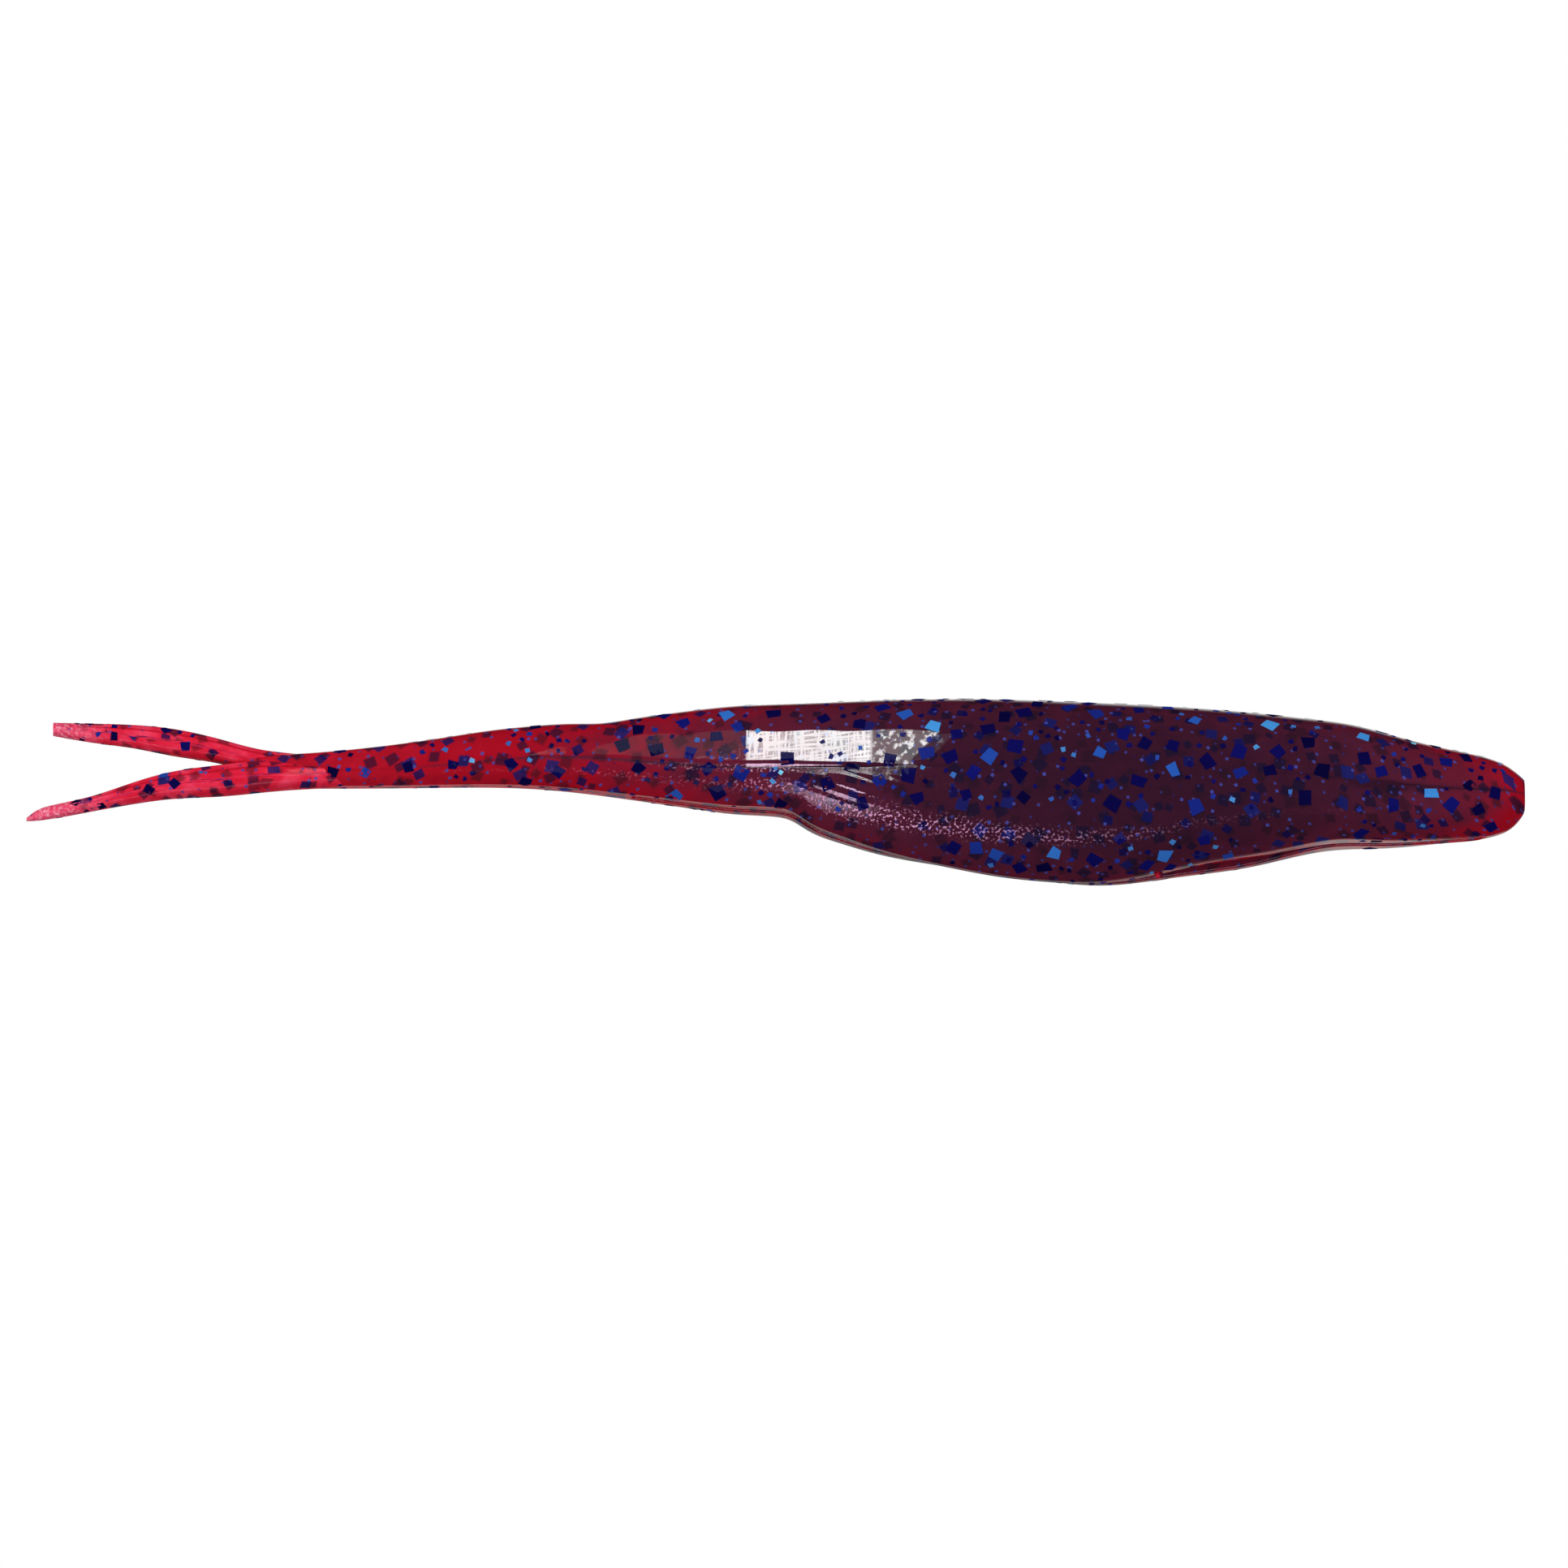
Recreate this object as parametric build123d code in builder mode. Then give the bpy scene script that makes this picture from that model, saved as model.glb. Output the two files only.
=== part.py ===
from build123d import *
import math
import os
import random

os.makedirs("parts", exist_ok=True)

# Soft plastic fork-tailed minnow. Millimetres, nose flat at X = 0, tail towards -X, back towards +Z.
# The real lure is one casting. Here it is cut into short lengths that bend against each other.

# One cross-section of the casting: distance behind the nose, height of the back, depth of the belly,
# half width, height of the mould parting line, half width of the flat strip along the underside.
BODY_STATIONS = [
    (0.0, 1.10, -1.50, 1.25, -0.40, 0.60),
    (0.5, 1.70, -2.40, 1.95, -0.35, 0.55),
    (1.7, 2.55, -3.40, 2.70, -0.25, 0.50),
    (4.0, 3.40, -4.05, 3.30, -0.20, 0.80),
    (9.0, 4.50, -4.45, 4.25, -0.10, 1.30),
    (15.0, 6.05, -4.65, 5.15, 0.30, 2.30),
    (20.0, 6.80, -5.25, 5.60, 0.70, 2.20),
    (27.0, 7.50, -6.90, 6.00, 0.90, 1.70),
    (35.0, 8.00, -8.00, 6.20, 1.10, 1.50),
    (40.0, 8.25, -8.15, 6.20, 1.40, 1.50),
    (50.0, 8.52, -6.90, 5.90, 1.50, 1.60),
    (58.0, 8.42, -5.00, 5.30, 1.40, 1.80),
    (66.0, 8.10, -1.80, 4.50, 1.60, 2.20),
    (72.0, 7.75, -1.30, 3.85, 1.80, 2.00),
    (78.0, 6.95, -0.50, 3.30, 2.20, 1.50),
    (83.0, 6.35, 0.15, 2.95, 2.70, 1.05),
    (89.0, 6.10, 0.60, 2.50, 2.70, 0.85),
    (96.0, 5.10, 0.70, 2.05, 2.20, 0.75),
    (103.0, 4.15, 0.60, 1.75, 1.95, 0.65),
    (109.0, 3.62, 0.56, 1.60, 2.00, 0.60),
    (112.0, 3.48, 0.56, 1.45, 2.00, 0.55),
]

# One cross-section of a tail prong: distance behind the nose, top edge, bottom edge,
# half thickness, sideways shift.
UPPER_PRONG_STATIONS = [
    (107.0, 3.30, 1.60, 1.10, 0.30),
    (112.5, 4.05, 1.90, 1.35, 0.35),
    (116.0, 4.95, 2.85, 1.35, 0.35),
    (120.3, 5.90, 3.50, 1.25, 0.25),
    (124.0, 6.25, 4.20, 1.10, 0.15),
    (127.5, 6.35, 4.70, 0.90, 0.05),
    (131.0, 6.42, 5.25, 0.60, 0.00),
]
LOWER_PRONG_STATIONS = [
    (107.0, 2.40, 0.80, 1.10, -0.30),
    (112.5, 1.95, 0.05, 1.40, -0.40),
    (116.0, 2.40, -0.30, 1.40, -0.40),
    (120.3, 1.92, -0.50, 1.25, -0.30),
    (124.0, 0.90, -0.98, 1.10, -0.20),
    (127.5, -0.25, -1.60, 0.90, -0.10),
    (131.0, -1.05, -2.25, 0.65, 0.00),
    (132.6, -1.65, -2.50, 0.40, 0.00),
    (133.35, -2.25, -2.50, 0.15, 0.00),
]

# Hook slot along the belly and the shallow groove that carries on under the chin and under the rear body.
SLOT_WIDTH = 1.0
SLOT_FRONT = 3.4
SLOT_REAR = 79.6
SLOT_MOUTH_BELOW = -14.0

# Roof of the slot, as (distance behind the nose, height).
SLOT_ROOF = [
    (SLOT_FRONT, -3.4),
    (10.0, -3.1),
    (18.0, -3.5),
    (24.0, -2.4),
    (34.0, -1.6),
    (52.0, -1.2),
    (64.0, -0.6),
    (72.0, -0.3),
    (SLOT_REAR, 0.3),
]

# Bending places along the casting, measured behind the nose, with the bend allowed each way in degrees.
NAPE = 16.5
NAPE_BEND = 6.0
NAPE_HEIGHT = 0.8
WAIST = 64.0
WAIST_BEND = 10.0
STEM_START = 82.0
STEM_START_BEND = 14.0
STEM_NOD = 92.0
STEM_NOD_BEND = 12.0
STEM_NOD_HEIGHT = 3.1
STEM_WHIP = 101.0
STEM_WHIP_BEND = 16.0
STEM_END = 109.0
FORK = 116.0
FORK_BEND = 18.0
PRONG_MIDDLE = 124.0
PRONG_BEND = 20.0
UPPER_PRONG_END = 131.0
LOWER_PRONG_END = 132.0
BEND_GAP = 0.3
SPARE_ANGLE = 1.0

# Lips either side of the slot, free to spread about a line along their thick root.
LIP_FRONT = 21.0
LIP_REAR = 58.0
LIP_TOP = -3.5
LIP_ROOT = 3.2
LIP_SPREAD = 12.0
LIP_DEEP_FRONT = 24.0
LIP_DEEP_REAR = 53.0

# Flakes of glitter film set flush in the skin.
LARGE_FLAKE = 1.2
STEM_FLAKE = 1.0
PRONG_FLAKE = 0.8
SMALL_FLAKE = 0.45
FLAKE_THICKNESS = 0.1
FLAKE_PROUD = 0.03
FLAKE_SPACING = 0.75
END_MARGIN = 1.5

# Half size of the blocks that trim the casting: well clear of its skin.
REACH = 14.0

# Heights where flakes may sit: on the whole casting, above the lips, and on the lips.
ANY_HEIGHT = (-REACH, REACH)
ABOVE_LIPS = (LIP_TOP + LARGE_FLAKE, REACH)
ON_LIPS = (-REACH, LIP_TOP - LARGE_FLAKE)


def across(distance):
    """Plane of a cross-section at a distance behind the nose."""
    return Plane(origin=(-distance, 0, 0), x_dir=(0, 1, 0), z_dir=(1, 0, 0))


def bend_window(front, front_bend, rear, rear_bend, height):
    """Outline of one length: each end is a blunt roof that leaves room for its bend."""
    front_tip = -front - BEND_GAP / 2
    rear_tip = -rear + BEND_GAP / 2
    front_side = front_tip
    rear_side = rear_tip
    if front_bend > 0:
        front_side -= REACH * math.tan(math.radians(front_bend / 2 + SPARE_ANGLE))
    if rear_bend > 0:
        rear_side += REACH * math.tan(math.radians(rear_bend / 2 + SPARE_ANGLE))
    return [
        (front_tip, height),
        (front_side, height + REACH),
        (rear_side, height + REACH),
        (rear_tip, height),
        (rear_side, height - REACH),
        (front_side, height - REACH),
    ]


# Casting before any cut: back, flanks and the flat strip underneath. The widest line is the parting line.
with BuildPart() as casting:
    for distance, back, belly, half_width, parting, strip in BODY_STATIONS:
        depth = (parting - belly) / math.sqrt(1 - (strip / half_width) ** 2)
        corner = math.degrees(math.asin((parting - belly) / depth))
        with BuildSketch(across(distance)):
            with BuildLine():
                EllipticalCenterArc((0, parting), half_width, back - parting, start_angle=0, arc_size=180)
                EllipticalCenterArc((0, parting), half_width, depth, start_angle=180, arc_size=corner)
                Line((-strip, belly), (strip, belly))
                EllipticalCenterArc((0, parting), half_width, depth, start_angle=-corner, arc_size=corner)
            make_face()
    loft()

# Upper prong of the fork, rising and then levelling out.
with BuildPart() as upper_prong:
    for distance, top, bottom, half_thickness, shift in UPPER_PRONG_STATIONS:
        with BuildSketch(across(distance)):
            with Locations((shift, (top + bottom) / 2)):
                Ellipse(half_thickness, (top - bottom) / 2)
    loft()

# Lower prong of the fork, curving down to an oblique point.
with BuildPart() as lower_prong:
    for distance, top, bottom, half_thickness, shift in LOWER_PRONG_STATIONS:
        with BuildSketch(across(distance)):
            with Locations((shift, (top + bottom) / 2)):
                Ellipse(half_thickness, (top - bottom) / 2)
    loft()

# Space of the hook slot: shallow under the chin, deep through the belly, shallow again behind it.
with BuildPart() as hook_slot:
    with BuildSketch(Plane.XZ):
        with BuildLine():
            slot_roof = Spline(*[(-distance, height) for distance, height in SLOT_ROOF])
            Line(slot_roof @ 1, (-SLOT_REAR, SLOT_MOUTH_BELOW))
            Line((-SLOT_REAR, SLOT_MOUTH_BELOW), (-SLOT_FRONT, SLOT_MOUTH_BELOW))
            Line((-SLOT_FRONT, SLOT_MOUTH_BELOW), slot_roof @ 0)
        make_face()
    extrude(amount=SLOT_WIDTH / 2, both=True)

# Head: from the nose flat to the nape. It carries the front groove under the chin.
with BuildPart() as head_core:
    add(casting.part)
    add(hook_slot.part, mode=Mode.SUBTRACT)
    with BuildSketch(Plane.XZ):
        with BuildLine():
            Polyline(*bend_window(-REACH, 0, NAPE, NAPE_BEND, NAPE_HEIGHT), close=True)
        make_face()
    extrude(amount=REACH, both=True, mode=Mode.INTERSECT)
head_core.part.label = "head_core"

# Trunk: the thick middle with the deep slot, without the two lips that hang below it.
with BuildPart() as trunk_core:
    add(casting.part)
    add(hook_slot.part, mode=Mode.SUBTRACT)
    with BuildSketch(Plane.XZ):
        with BuildLine():
            Polyline(*bend_window(NAPE, NAPE_BEND, WAIST, 0, NAPE_HEIGHT), close=True)
        make_face()
    extrude(amount=REACH, both=True, mode=Mode.INTERSECT)
    with BuildSketch(Plane.XY):
        with BuildLine():
            Polyline(*bend_window(NAPE, 0, WAIST, WAIST_BEND, 0), close=True)
        make_face()
    extrude(amount=REACH, both=True, mode=Mode.INTERSECT)
    with BuildSketch(Plane.XZ):
        with Locations(((-LIP_FRONT - LIP_REAR) / 2, LIP_TOP + BEND_GAP)):
            lip_room = LIP_REAR - LIP_FRONT + 2 * BEND_GAP
            Rectangle(lip_room, REACH, align=(Align.CENTER, Align.MAX))
    extrude(amount=REACH, both=True, mode=Mode.SUBTRACT)
trunk_core.part.label = "trunk_core"

# Lips of the slot. The top face falls away outside the root line so that the lip can spread.
lip_fall = (REACH - LIP_ROOT) * math.tan(math.radians(LIP_SPREAD + SPARE_ANGLE))
with BuildPart() as left_lip_core:
    add(casting.part)
    add(hook_slot.part, mode=Mode.SUBTRACT)
    with BuildSketch(across(LIP_REAR)):
        with BuildLine():
            Polyline(
                (0, LIP_TOP),
                (LIP_ROOT, LIP_TOP),
                (REACH, LIP_TOP - lip_fall),
                (REACH, -REACH),
                (0, -REACH),
                close=True,
            )
        make_face()
    extrude(amount=LIP_REAR - LIP_FRONT, mode=Mode.INTERSECT)
with BuildPart() as right_lip_core:
    add(left_lip_core.part)
    mirror(about=Plane.XZ, mode=Mode.REPLACE)
left_lip_core.part.label = "left_lip_core"
right_lip_core.part.label = "right_lip_core"

# Rear body: waist to tail stem, with the shallow groove running out underneath.
with BuildPart() as rear_body_core:
    add(casting.part)
    add(hook_slot.part, mode=Mode.SUBTRACT)
    with BuildSketch(Plane.XY):
        with BuildLine():
            Polyline(*bend_window(WAIST, WAIST_BEND, STEM_START, STEM_START_BEND, 0), close=True)
        make_face()
    extrude(amount=REACH, both=True, mode=Mode.INTERSECT)
rear_body_core.part.label = "rear_body_core"

# Tail stem in three lengths: the first and last swing sideways, the middle one nods.
with BuildPart() as stem_root_core:
    add(casting.part)
    with BuildSketch(Plane.XY):
        with BuildLine():
            Polyline(*bend_window(STEM_START, STEM_START_BEND, STEM_NOD, 0, 0), close=True)
        make_face()
    extrude(amount=REACH, both=True, mode=Mode.INTERSECT)
    with BuildSketch(Plane.XZ):
        with BuildLine():
            Polyline(*bend_window(STEM_START, 0, STEM_NOD, STEM_NOD_BEND, STEM_NOD_HEIGHT), close=True)
        make_face()
    extrude(amount=REACH, both=True, mode=Mode.INTERSECT)
stem_root_core.part.label = "stem_root_core"

with BuildPart() as stem_mid_core:
    add(casting.part)
    with BuildSketch(Plane.XZ):
        with BuildLine():
            Polyline(*bend_window(STEM_NOD, STEM_NOD_BEND, STEM_WHIP, 0, STEM_NOD_HEIGHT), close=True)
        make_face()
    extrude(amount=REACH, both=True, mode=Mode.INTERSECT)
    with BuildSketch(Plane.XY):
        with BuildLine():
            Polyline(*bend_window(STEM_NOD, 0, STEM_WHIP, STEM_WHIP_BEND, 0), close=True)
        make_face()
    extrude(amount=REACH, both=True, mode=Mode.INTERSECT)
stem_mid_core.part.label = "stem_mid_core"

# Last length of the stem swells into the fork, where both prongs leave it.
with BuildPart() as stem_tip_core:
    add(casting.part)
    add(upper_prong.part)
    add(lower_prong.part)
    with BuildSketch(Plane.XY):
        with BuildLine():
            Polyline(*bend_window(STEM_WHIP, STEM_WHIP_BEND, FORK, FORK_BEND, 0), close=True)
        make_face()
    extrude(amount=REACH, both=True, mode=Mode.INTERSECT)
stem_tip_core.part.label = "stem_tip_core"

# Free prongs, each in two lengths.
with BuildPart() as upper_prong_base_core:
    add(upper_prong.part)
    with BuildSketch(Plane.XY):
        with BuildLine():
            Polyline(*bend_window(FORK, FORK_BEND, PRONG_MIDDLE, PRONG_BEND, 0), close=True)
        make_face()
    extrude(amount=REACH, both=True, mode=Mode.INTERSECT)
upper_prong_base_core.part.label = "upper_prong_base_core"

with BuildPart() as upper_prong_tip_core:
    add(upper_prong.part)
    with BuildSketch(Plane.XY):
        with BuildLine():
            Polyline(*bend_window(PRONG_MIDDLE, PRONG_BEND, PRONG_MIDDLE + REACH, 0, 0), close=True)
        make_face()
    extrude(amount=REACH, both=True, mode=Mode.INTERSECT)
upper_prong_tip_core.part.label = "upper_prong_tip_core"

with BuildPart() as lower_prong_base_core:
    add(lower_prong.part)
    with BuildSketch(Plane.XY):
        with BuildLine():
            Polyline(*bend_window(FORK, FORK_BEND, PRONG_MIDDLE, PRONG_BEND, 0), close=True)
        make_face()
    extrude(amount=REACH, both=True, mode=Mode.INTERSECT)
lower_prong_base_core.part.label = "lower_prong_base_core"

with BuildPart() as lower_prong_tip_core:
    add(lower_prong.part)
    with BuildSketch(Plane.XY):
        with BuildLine():
            Polyline(*bend_window(PRONG_MIDDLE, PRONG_BEND, PRONG_MIDDLE + REACH, 0, 0), close=True)
        make_face()
    extrude(amount=REACH, both=True, mode=Mode.INTERSECT)
lower_prong_tip_core.part.label = "lower_prong_tip_core"

cores = [
    head_core,
    trunk_core,
    left_lip_core,
    right_lip_core,
    rear_body_core,
    stem_root_core,
    stem_mid_core,
    stem_tip_core,
    upper_prong_base_core,
    upper_prong_tip_core,
    lower_prong_base_core,
    lower_prong_tip_core,
]
for core in cores:
    export_step(core.part, "parts/" + core.part.label + ".step")


def spine(stations, distance):
    """Middle of the cross-section at a distance behind the nose, with the sideways shift of a prong."""
    for ahead, behind in zip(stations, stations[1:]):
        if distance <= behind[0]:
            break
    share = (distance - ahead[0]) / (behind[0] - ahead[0])
    middle_ahead = (ahead[1] + ahead[2]) / 2
    middle_behind = (behind[1] + behind[2]) / 2
    shift = 0
    if len(ahead) == 5:
        shift = ahead[4] + share * (behind[4] - ahead[4])
    return Vector(-distance, shift, middle_ahead + share * (middle_behind - middle_ahead))


def flake_seats(skin, stations, span, heights, side, count, flake, taken):
    """Seats on the skin for flakes, turned at random and clear of the slot and the seats taken."""
    seats = []
    while len(seats) < count:
        distance = random.uniform(span[0] + END_MARGIN, span[1] - END_MARGIN)
        turn = random.uniform(0, 2 * math.pi)
        heart = spine(stations, distance)
        outward = Vector(0, math.cos(turn), math.sin(turn))
        hits = skin.find_intersection_points(Axis(heart, outward))
        point, normal = max(hits, key=lambda hit: (hit[0] - heart).dot(outward))
        beside_slot = abs(point.Y) < SLOT_WIDTH / 2 + flake and point.Z < heart.Z
        if beside_slot and distance < SLOT_REAR + flake:
            continue
        if point.Z < heights[0] or point.Z > heights[1] or point.Y * side < 0:
            continue
        if any((point - other).length < FLAKE_SPACING * (flake + size) for other, size in taken):
            continue
        taken.append((point, flake))
        middle = point + normal * (FLAKE_PROUD - FLAKE_THICKNESS / 2)
        aim = Vector(random.gauss(0, 1), random.gauss(0, 1), random.gauss(0, 1))
        seats.append(Plane(origin=middle, x_dir=aim - normal * aim.dot(normal), z_dir=normal))
    return seats


# Where flakes sit on the main casting: length of the casting, span behind the nose, heights allowed,
# side allowed (0 for both), size and number of the large flakes, number of the small ones.
casting_flakes = [
    ("head", (0.5, NAPE), ANY_HEIGHT, 0, LARGE_FLAKE, 34, 70),
    ("trunk", (NAPE, WAIST), ABOVE_LIPS, 0, LARGE_FLAKE, 120, 250),
    ("left_lip", (LIP_DEEP_FRONT, LIP_DEEP_REAR), ON_LIPS, 1, LARGE_FLAKE, 14, 30),
    ("right_lip", (LIP_DEEP_FRONT, LIP_DEEP_REAR), ON_LIPS, -1, LARGE_FLAKE, 14, 30),
    ("rear_body", (WAIST, STEM_START), ANY_HEIGHT, 0, LARGE_FLAKE, 34, 70),
    ("stem_root", (STEM_START, STEM_NOD), ANY_HEIGHT, 0, STEM_FLAKE, 12, 26),
    ("stem_mid", (STEM_NOD, STEM_WHIP), ANY_HEIGHT, 0, STEM_FLAKE, 7, 16),
    ("stem_tip", (STEM_WHIP, STEM_END), ANY_HEIGHT, 0, STEM_FLAKE, 4, 10),
]

# The same for the two prongs.
upper_prong_flakes = [
    ("upper_prong_base", (FORK, PRONG_MIDDLE), ANY_HEIGHT, 0, PRONG_FLAKE, 4, 7),
    ("upper_prong_tip", (PRONG_MIDDLE, UPPER_PRONG_END), ANY_HEIGHT, 0, PRONG_FLAKE, 3, 5),
]
lower_prong_flakes = [
    ("lower_prong_base", (FORK, PRONG_MIDDLE), ANY_HEIGHT, 0, PRONG_FLAKE, 4, 7),
    ("lower_prong_tip", (PRONG_MIDDLE, LOWER_PRONG_END), ANY_HEIGHT, 0, PRONG_FLAKE, 3, 5),
]

flake_places = [(casting, BODY_STATIONS, *place) for place in casting_flakes]
flake_places += [(upper_prong, UPPER_PRONG_STATIONS, *place) for place in upper_prong_flakes]
flake_places += [(lower_prong, LOWER_PRONG_STATIONS, *place) for place in lower_prong_flakes]

random.seed(7)
for part, stations, name, span, heights, side, large, large_count, small_count in flake_places:
    skin = part.part.shell()
    taken = []
    large_seats = flake_seats(skin, stations, span, heights, side, large_count, large, taken)
    small_seats = flake_seats(skin, stations, span, heights, side, small_count, SMALL_FLAKE, taken)
    with BuildPart() as large_flakes:
        with Locations(*large_seats):
            Box(large, large, FLAKE_THICKNESS)
    with BuildPart() as small_flakes:
        with Locations(*small_seats):
            Box(SMALL_FLAKE, SMALL_FLAKE, FLAKE_THICKNESS)
    large_flakes.part.label = name + "_large_flakes"
    small_flakes.part.label = name + "_small_flakes"
    export_step(large_flakes.part, "parts/" + large_flakes.part.label + ".step")
    export_step(small_flakes.part, "parts/" + small_flakes.part.label + ".step")
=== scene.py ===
import math

import bpy
import numpy as np
from mathutils import Euler, Matrix


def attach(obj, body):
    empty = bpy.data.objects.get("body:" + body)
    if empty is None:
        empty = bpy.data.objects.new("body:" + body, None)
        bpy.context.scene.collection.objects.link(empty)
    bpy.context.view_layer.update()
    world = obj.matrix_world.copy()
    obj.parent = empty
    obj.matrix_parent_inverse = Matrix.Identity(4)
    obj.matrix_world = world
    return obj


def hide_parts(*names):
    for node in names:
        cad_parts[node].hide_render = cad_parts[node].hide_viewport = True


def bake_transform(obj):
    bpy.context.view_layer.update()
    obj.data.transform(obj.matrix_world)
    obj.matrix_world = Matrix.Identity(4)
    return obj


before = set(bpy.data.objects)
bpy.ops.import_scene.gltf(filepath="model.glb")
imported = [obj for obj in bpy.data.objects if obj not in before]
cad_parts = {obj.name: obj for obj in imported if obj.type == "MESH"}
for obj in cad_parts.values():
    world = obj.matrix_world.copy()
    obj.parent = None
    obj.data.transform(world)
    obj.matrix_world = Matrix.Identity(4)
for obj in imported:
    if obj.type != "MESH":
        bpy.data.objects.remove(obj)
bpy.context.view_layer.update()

# ---------------------------------------------------------------------------------------------------------
# Head. The front of one soft casting, made in a two-part mould that parts along the widest line of the body.
# A small flat at the nose is where the sprue was cut, and a shallow groove runs back under the chin.
# ---------------------------------------------------------------------------------------------------------

MM = 0.001

# Curves of the mould, as (millimetres behind the nose, millimetres): each is joined by a smooth line.
BACK = [
    (0, 1.10), (0.3, 1.50), (0.95, 2.05), (1.7, 2.55), (3.5, 3.25), (5.3, 3.68), (8.9, 4.48), (12.5, 5.45),
    (15.2, 6.15), (17, 6.45), (20, 6.80), (27, 7.50), (34, 7.95), (43, 8.35), (50, 8.52), (57.7, 8.42),
    (65, 8.14), (71, 7.85), (75.7, 7.30), (79.5, 6.75), (82.2, 6.36), (84.8, 6.32), (88.4, 6.10), (92, 5.72),
    (97, 4.95), (103, 4.15), (109, 3.62), (113, 3.45),
]
BELLY = [
    (0, -1.50), (0.3, -2.15), (0.95, -2.90), (1.7, -3.42), (3.5, -3.98), (5.3, -4.20), (8.9, -4.45),
    (13, -4.62), (17.4, -4.74), (18.8, -4.98), (24.4, -6.34), (31.6, -7.44), (38, -8.28), (43, -8.10),
    (47, -7.65), (50.5, -7.00), (54, -6.25), (57.7, -5.28), (61.3, -4.05), (63.8, -2.95), (65.4, -1.98),
    (66.6, -1.70), (70, -1.50), (74, -1.05), (79.3, -0.35), (84.8, 0.30), (88.4, 0.58), (92, 0.68),
    (99, 0.62), (106, 0.56), (113, 0.56),
]
HALF_WIDTH = [
    (0, 1.25), (0.5, 1.95), (1.7, 2.70), (4, 3.30), (9, 4.25), (15, 5.15), (20, 5.60), (27, 6.00), (35, 6.18),
    (42, 6.18), (50, 5.88), (58, 5.30), (66, 4.50), (72, 3.85), (78, 3.30), (83, 2.95), (89, 2.50),
    (96, 2.05), (103, 1.75), (109, 1.60), (113, 1.45),
]
PARTING = [
    (0, -0.40), (3, -0.20), (9.6, -0.08), (13, 0.18), (16, 0.36), (19, 0.67), (27, 0.95), (38, 1.40),
    (47, 1.50), (58, 1.40), (66, 1.60), (74, 1.90), (83.5, 2.72), (90, 2.70), (99.6, 1.95), (113, 2.00),
]
STRIP = [
    (0, 0.50), (3.5, 0.35), (5.3, 0.40), (8.9, 1.25), (12.5, 1.90), (17.4, 2.50), (20, 2.20), (27, 1.70),
    (35, 1.50), (50, 1.60), (58, 1.80), (65.4, 2.30), (72, 2.00), (79.3, 1.40), (85, 1.00), (92, 0.80),
    (113, 0.55),
]
SLOT_ROOF = [
    (3.4, -3.4), (10, -3.1), (18, -3.5), (24, -2.4), (34, -1.6), (52, -1.2), (64, -0.6), (72, -0.3),
    (79.6, 0.3),
]
FACET = [(0, 0.0), (52, 0.0), (64, 0.40), (80, 0.50), (95, 0.20), (113, 0.0)]
PARTING_GROOVE = [
    (0, 0.12), (10, 0.18), (22, 0.06), (40, 0.03), (54, 0.08), (62, 0.28), (78, 0.26), (90, 0.10), (113, 0.05),
]
GROOVE_REACH = 0.32
SCUFF_HEIGHT = [
    (0, -3), (20, -4.2), (34, -5.7), (45, -4.7), (56, -3.0), (63, -1.0), (67, 0.8), (72, 1.3), (84, 1.6),
    (113, 1.6),
]
SCUFF_REACH = [(0, 1.2), (34, 1.9), (56, 2.4), (64, 2.2), (72, 1.2), (113, 0.7)]
SCUFF = [
    (0, 0.02), (18, 0.06), (30, 0.20), (44, 0.42), (54, 0.80), (62, 0.95), (70, 0.45), (80, 0.15), (100, 0.05),
    (113, 0.05),
]
# Painted shade along the parting crease: its strength along the body, how far it reaches and how dark it is.
CREASE_SHADE = [(0, 1.0), (14, 1.0), (24, 0.3), (50, 0.3), (60, 1.0), (90, 0.8), (113, 0.5)]
CREASE_SHADE_REACH = 0.10
CREASE_SHADE_DARK = 3.4
FOLD_AT = 59.0
FOLD_SPREAD = 4.2
FOLD_HEIGHT = -0.4
FOLD_REACH = 1.3
FOLD_DEPTH = 0.035
FOLD_SPACING = 0.8
FOLD_SLOPE = -0.35
SLOT_START = 3.4
SLOT_END = 79.6
SLOT_HALF = 0.5
LIP_ROUND = 0.22
LIP_LIFT = 0.62
LIP_LIFT_AT = 47.0
LIP_LIFT_SPREAD = 9.0
LIP_CURL = 0.45
LIP_CURL_AT = 26.5
LIP_CURL_SPREAD = 6.0
CHEEK_DENT = 0.16
CHEEK_AT = 11.2
CHEEK_SPREAD = 2.2
CHEEK_REACH = 0.7
UNEVEN = 0.035

# How deep the plastic looks, which sets its tint: from the half-width and from the place across, so that thin
# parts and edges come out lighter and redder, partly the plastic's own tint and partly painted light shining
# through them. The strip under the body is painted lighter as well, partly a painted reflection, and painted
# shade is added in the cheek hollow.
DEEP_BY_HALF_WIDTH = 1.1
DEEP_BY_PLACE = 0.9
STRIP_PAINTED_LIGHT = 0.4
# Painted shade in the cheek hollow under the parting line: where it lies, how far it reaches and how dark it
# is.
HOLLOW_AT = 12.8
HOLLOW_SPREAD = 2.6
HOLLOW_BELOW = 0.35
HOLLOW_REACH = 0.4
HOLLOW_SHADE_DARK = 4.0

# How much clear gloss lies on each edge.
CORNER_GLOSS = 0.9
CORNER_GLOSS_COLUMNS = 1.2
STRIP_GLOSS = 0.22
CHIN_GLOSS = 0.33
FAR_SIDE_GLOSS = 0.25
SIDE_BLEND = 0.8

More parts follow.
